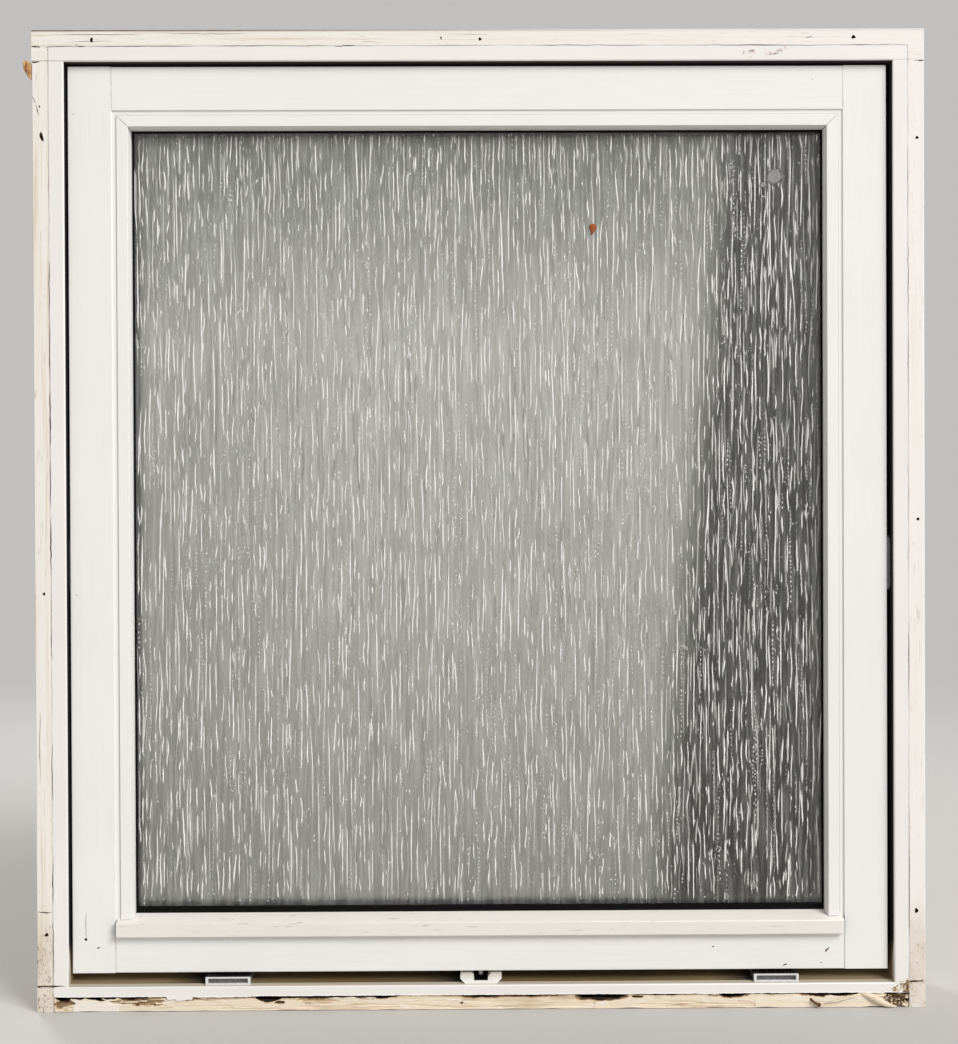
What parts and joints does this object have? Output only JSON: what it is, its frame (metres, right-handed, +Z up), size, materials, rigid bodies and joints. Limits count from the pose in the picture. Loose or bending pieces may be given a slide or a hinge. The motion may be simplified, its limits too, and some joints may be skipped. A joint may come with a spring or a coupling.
{
  "type": "frosted glass window",
  "caption": "Used white-painted timber window: a fixed frame with an outward-opening sash closed in it, glazed with a double unit of streaked frosted glass.",
  "frame": {"origin": "bottom centre of the frame, on the plane it stands on", "axes": "+Z up, +Y from the outside face towards the room, +X to the right seen from outside"},
  "size_m": [0.988, 0.115, 1.088],
  "materials": {
    "painted_pine": "satin white paint, bare and torn at the outer edges",
    "patterned_glass": "obscure, fine vertical streaks",
    "clear_glass": "clear float",
    "black_rubber": "matt",
    "spacer_aluminium": "mill",
    "clear_plastic": "translucent",
    "white_nylon": "moulded",
    "zinc_steel": "zinc plated",
    "handle_metal": "satin"
  },
  "bodies": {
    "root": {"frame_head": "painted_pine", "frame_sill": "painted_pine", "frame_left_jamb": "painted_pine", "frame_right_jamb": "painted_pine", "sash_left_stile": "painted_pine", "sash_right_stile": "painted_pine", "sash_top_rail": "painted_pine", "sash_bottom_rail": "painted_pine", "left_glazing_bead": "painted_pine", "right_glazing_bead": "painted_pine", "top_glazing_bead": "painted_pine", "bottom_glazing_bead": "painted_pine", "left_weatherstrip": "black_rubber", "right_weatherstrip": "black_rubber", "top_weatherstrip": "black_rubber", "bottom_weatherstrip": "black_rubber", "outer_gasket": "black_rubber", "inner_gasket": "black_rubber", "edge_seal": "black_rubber", "patterned_pane": "patterned_glass", "clear_pane": "clear_glass", "spacer_bar": "spacer_aluminium", "left_setting_block": "black_rubber", "right_setting_block": "black_rubber", "left_lifting_block": "clear_plastic", "right_lifting_block": "clear_plastic", "centre_keep": "white_nylon", "lock_pin": "zinc_steel", "left_hinge_plate": "zinc_steel", "right_hinge_plate": "zinc_steel", "handle_rose": "handle_metal", "handle_lever": "handle_metal"}
  },
  "joints": []
}
